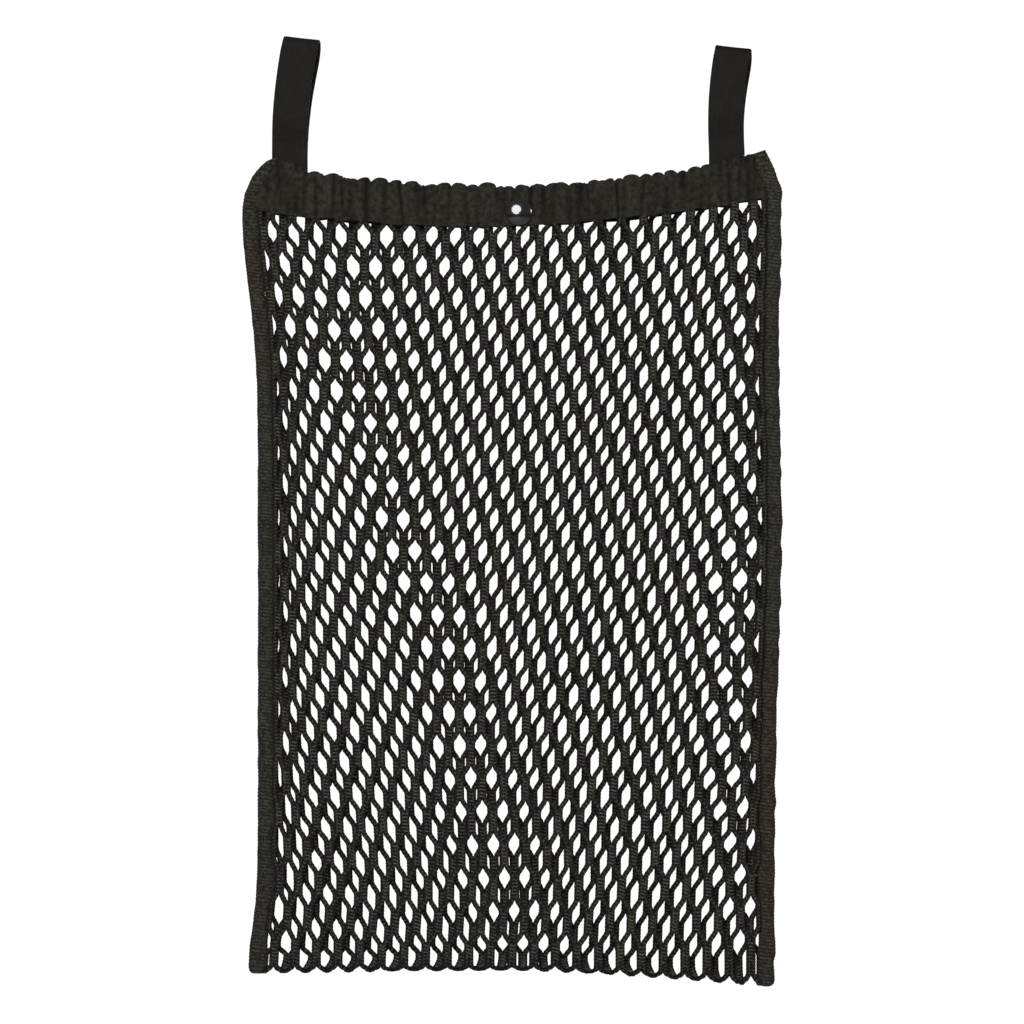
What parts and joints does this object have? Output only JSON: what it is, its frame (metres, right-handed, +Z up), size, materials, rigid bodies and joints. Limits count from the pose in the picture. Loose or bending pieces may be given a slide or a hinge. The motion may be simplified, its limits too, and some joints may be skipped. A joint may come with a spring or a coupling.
{
  "type": "hay net",
  "caption": "Small-mesh hanging hay net: flat knitted bag with a gathered elastic mouth, press stud and webbing loops.",
  "frame": {"origin": "midway between the tops of the two webbing loops, where the line or rail that carries the net runs", "axes": "+X to the right along the mouth, +Y to the back, +Z up towards the loops; the press stud faces -Y"},
  "size_m": [0.378, 0.023, 0.6651],
  "materials": {
    "net_yarn": "matte knitted polyester yarn",
    "hem_cloth": "matte plain-woven cloth, gathered",
    "elastic": "matte ribbed elastic band",
    "thread": "spun thread, faint sheen",
    "webbing": "flat woven webbing, slight sheen",
    "cap_lacquer": "gloss black lacquer",
    "stud_metal": "gunmetal plating, satin"
  },
  "bodies": {
    "bag": {"net_back": "net_yarn", "hem_back": "hem_cloth", "elastic_back": "elastic", "hem_stitching_back": "thread", "side_seam_left": "thread", "side_seam_right": "thread", "strap_tail_left": "webbing", "strap_tail_right": "webbing", "bar_tack_left": "thread", "bar_tack_right": "thread", "snap_stud": "stud_metal", "snap_eyelet": "stud_metal"},
    "front": {"net_front": "net_yarn", "hem_front": "hem_cloth", "elastic_front": "elastic", "hem_stitching_front": "thread", "snap_cap": "cap_lacquer", "snap_socket": "stud_metal"},
    "loop_left": {"strap_left": "webbing"},
    "loop_right": {"strap_right": "webbing"}
  },
  "joints": [
    {"name": "mouth_opening", "type": "hinge", "parent": "bag", "child": "front", "pos_m": [0, 0, -0.6413], "axis": [1, 0, 0], "range_deg": [0, 14], "stiffness_Nm_per_rad": 4},
    {"name": "loop_left_fold", "type": "hinge", "parent": "bag", "child": "loop_left", "pos_m": [-0.15852, 0, -0.08295], "axis": [1, 0, 0], "range_deg": [-90, 90], "stiffness_Nm_per_rad": 0.02},
    {"name": "loop_right_fold", "type": "hinge", "parent": "bag", "child": "loop_right", "pos_m": [0.14741, 0, -0.07645], "axis": [1, 0, 0], "range_deg": [-90, 90], "stiffness_Nm_per_rad": 0.02}
  ]
}
